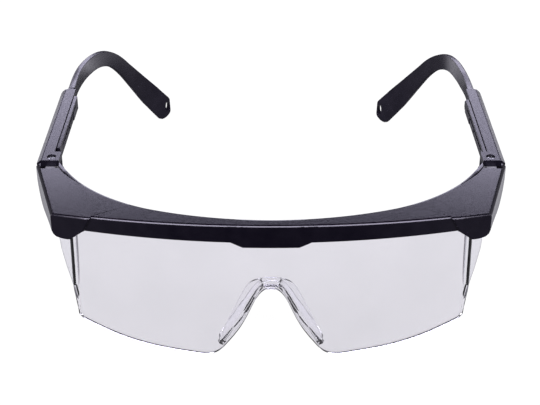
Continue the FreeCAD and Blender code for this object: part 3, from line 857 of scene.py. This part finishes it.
def moulded_nylon(name, dark, light, rough, grain):
    """Moulded nylon: cloudy colour, uneven gloss, a fine skin texture and softened edges."""
    n = Nodes(name)
    cloud = n.ramp(n.noise(0.25, 4), 0.35, 0.7, 0, 1)
    n.feed("Base Color", n.blend(cloud, dark, light))
    n.feed("Roughness", n.ramp(n.noise(1.1, 5), 0.3, 0.7, *rough))
    soft_edges = n.add("ShaderNodeBevel", samples=6, Radius=0.12 * MM).outputs["Normal"]
    skin = n.bump(n.noise(6.0, 2), grain, 0.03, under=soft_edges)
    n.feed("Normal", n.bump(n.noise(0.12, 1), 0.06, 0.15, under=skin))
    n.set(IOR=1.46, Specular_Tint=(0.89, 0.84, 1.0, 1))
    return n.material


def clear_plastic(name, tint, cloudy, ior, rough):
    """Clear plastic with a faint tint and a handled surface."""
    n = Nodes(name)
    n.feed("Base Color", n.blend(n.ramp(n.noise(0.06, 2), 0.35, 0.65, 0, 1), tint, cloudy))
    n.feed("Roughness", n.ramp(n.noise(0.5, 6, 0.65), 0.5, 0.85, *rough))
    n.feed("Normal", n.bump(n.noise(0.05, 1), 0.05, 0.1))
    n.set(IOR=ior, Transmission_Weight=1.0, Specular_IOR_Level=0.3)
    return n.material


def turned_metal(name, base, dull, rough, streak):
    """Metal with fine marks, drawn out along the axis whose streak is below 1."""
    n = Nodes(name)
    n.feed("Base Color", n.blend(n.ramp(n.noise(1.5, 4), 0.3, 0.7, 0, 1), base, dull))
    n.feed("Roughness", n.ramp(n.noise(4, 4, stretch=streak), 0.3, 0.7, *rough))
    n.feed("Normal", n.bump(n.noise(8, 2, stretch=streak), 0.15, 0.02))
    n.set(Metallic=1.0)
    return n.material


def paint_nodes(materials):
    """Gives the CAD nodes that stay on show their finished materials."""
    for side in ("left", "right"):
        for node, material in materials.items():
            obj = frame["nodes"][side + "_" + node]
            obj.data.materials.clear()
            obj.data.materials.append(material)


# ---- Stage, light and camera

# Brightness of the room by sine of elevation, behind and in front
BEHIND = [(-1.0, 0.72), (-0.06, 0.72), (0.02, 0.02), (0.24, 0.02), (0.36, 0.24), (0.75, 0.2), (0.9, 0.1),
          (1.0, 0.1)]
IN_FRONT = [(-1.0, 0.09), (-0.2, 0.09), (0.1, 0.08), (0.5, 0.2), (0.8, 0.3), (0.9, 0.12), (1.0, 0.12)]
BEHIND_FROM = (0.55, 0.8)       # where the room behind takes over, by the share of +Y
SIDES_FROM = (0.25, 0.46)       # where the sides take over from the middle, by the share of X
ROOM_LEVEL = 2.0                # strength at the sides
MIDDLE_SHARE = 0.06             # strength in the middle, as a share of it


def stage():
    """A white floor that glows by itself, so that it stays evenly pale."""
    mesh = bmesh.new()
    corners = [(-1, -1), (1, -1), (1, 1), (-1, 1)]
    mesh.faces.new([mesh.verts.new((x * FLOOR_HALF, y * FLOOR_HALF, FLOOR_Z)) for x, y in corners])
    floor = new_object("floor", mesh)
    n = Nodes("floor_white")
    cloud = n.ramp(n.noise(0.01, 2), 0.3, 0.7, 0, 1)
    n.feed("Base Color", n.blend(cloud, (0.05, 0.05, 0.05), (0.055, 0.055, 0.055)))
    n.set(Roughness=0.8, Specular_IOR_Level=0.0, Emission_Color=(1, 1, 1, 1), Emission_Strength=0.98)
    floor.data.materials.append(n.material)
    floor.visible_glossy = False


def soft_light(name, place, target, size, power, colour):
    data = bpy.data.lights.new(name, "AREA")
    data.shape = "RECTANGLE"
    data.size, data.size_y = size
    data.energy = power
    data.color = colour
    lamp = bpy.data.objects.new(name, data)
    lamp.location = place
    lamp.rotation_euler = (Vector(target) - Vector(place)).to_track_quat("-Z", "Y").to_euler()
    bpy.context.scene.collection.objects.link(lamp)


def room_colour(tree, source, stops):
    """Colour ramp over sine of elevation, with a faint violet cast."""
    node = tree.nodes.new("ShaderNodeValToRGB")
    tree.links.new(source, node.inputs["Fac"])
    elements = node.color_ramp.elements
    for height, _ in stops[2:]:
        elements.new((height + 1) / 2)
    for element, (height, level) in zip(elements, stops):
        element.position = (height + 1) / 2
        element.color = (level, level * 0.99, min(1, level * 1.08), 1)
    return node.outputs["Color"]


def world():
    """A studio room: its colour goes by height, in front and behind, and its strength grows sideways."""
    back = bpy.data.worlds.new("studio")
    back.use_nodes = True
    tree = back.node_tree
    way = tree.nodes.new("ShaderNodeSeparateXYZ")
    tree.links.new(tree.nodes.new("ShaderNodeTexCoord").outputs["Generated"], way.inputs[0])
    height = tree.nodes.new("ShaderNodeMapRange")
    height.inputs["From Min"].default_value = -1
    tree.links.new(way.outputs["Z"], height.inputs["Value"])
    behind = room_colour(tree, height.outputs["Result"], BEHIND)
    in_front = room_colour(tree, height.outputs["Result"], IN_FRONT)
    depth = tree.nodes.new("ShaderNodeMapRange")
    depth.inputs["From Min"].default_value = BEHIND_FROM[0]
    depth.inputs["From Max"].default_value = BEHIND_FROM[1]
    tree.links.new(way.outputs["Y"], depth.inputs["Value"])
    both = tree.nodes.new("ShaderNodeMix")
    both.data_type = "RGBA"
    tree.links.new(depth.outputs["Result"], both.inputs["Factor"])
    tree.links.new(in_front, both.inputs["A"])
    tree.links.new(behind, both.inputs["B"])
    sideways = tree.nodes.new("ShaderNodeMath")
    sideways.operation = "ABSOLUTE"
    tree.links.new(way.outputs["X"], sideways.inputs[0])
    level = tree.nodes.new("ShaderNodeMapRange")
    level.inputs["From Min"].default_value = SIDES_FROM[0]
    level.inputs["From Max"].default_value = SIDES_FROM[1]
    level.inputs["To Min"].default_value = MIDDLE_SHARE * ROOM_LEVEL
    level.inputs["To Max"].default_value = ROOM_LEVEL
    tree.links.new(sideways.outputs[0], level.inputs["Value"])
    shader = tree.nodes["Background"]
    tree.links.new(both.outputs["Result"], shader.inputs["Color"])
    tree.links.new(level.outputs["Result"], shader.inputs["Strength"])
    bpy.context.scene.world = back


def camera():
    data = bpy.data.cameras.new("camera")
    data.lens = FOCAL_LENGTH
    data.clip_start = 0.01
    eye = bpy.data.objects.new("camera", data)
    eye.location = placed(*EYE)
    eye.rotation_euler = (placed(*AIM) - eye.location).to_track_quat("-Z", "Y").to_euler()
    bpy.context.scene.collection.objects.link(eye)
    bpy.context.scene.camera = eye


NYLON = moulded_nylon("black_nylon", (0.0035, 0.0028, 0.006), (0.0055, 0.0045, 0.0085), (0.15, 0.2), 0.05)
TEMPLE = moulded_nylon("temple_nylon", (0.007, 0.006, 0.011), (0.011, 0.0095, 0.016), (0.2, 0.32), 0.08)
KNUCKLE = moulded_nylon("knuckle_nylon", (0.12, 0.117, 0.14), (0.24, 0.235, 0.27), (0.3, 0.45), 0.3)
LENS = clear_plastic("polycarbonate", (0.745, 0.73, 0.785), (0.725, 0.712, 0.765), 1.586, (0.0, 0.03))
VINYL = clear_plastic("clear_vinyl", (0.99, 0.985, 1.0), (0.97, 0.97, 0.985), 1.5, (0.0, 0.05))
STEEL = turned_metal("plated_steel", (0.5, 0.5, 0.53), (0.35, 0.35, 0.38), (0.25, 0.4), (1, 1, 0.2))
PIN = turned_metal("blackened_steel", (0.08, 0.08, 0.09), (0.05, 0.05, 0.055), (0.3, 0.45), (0.2, 1, 1))
BRASS = turned_metal("nut_brass", (0.72, 0.55, 0.3), (0.55, 0.4, 0.2), (0.25, 0.4), (1, 1, 0.2))

brow_frame(NYLON)
lens(LENS)
nose_bridge(VINYL)
temple_sleeves(TEMPLE)
temple_arms(TEMPLE)
paint_nodes({"tilt_block": KNUCKLE, "tilt_pin": PIN, "hinge_screw": STEEL, "hinge_nut": BRASS})
stage()
world()
soft_light("high_front", (0, -0.6, 0.95), (0, 0, 0.04), (1.3, 0.4), 22, (0.95, 0.94, 1.0))
soft_light("behind", (0, 1.3, 0.58), (0, 0, 0.04), (1.3, 0.42), 8.5, (0.84, 0.82, 1.0))
bpy.context.scene.view_settings.view_transform = "Standard"
camera()
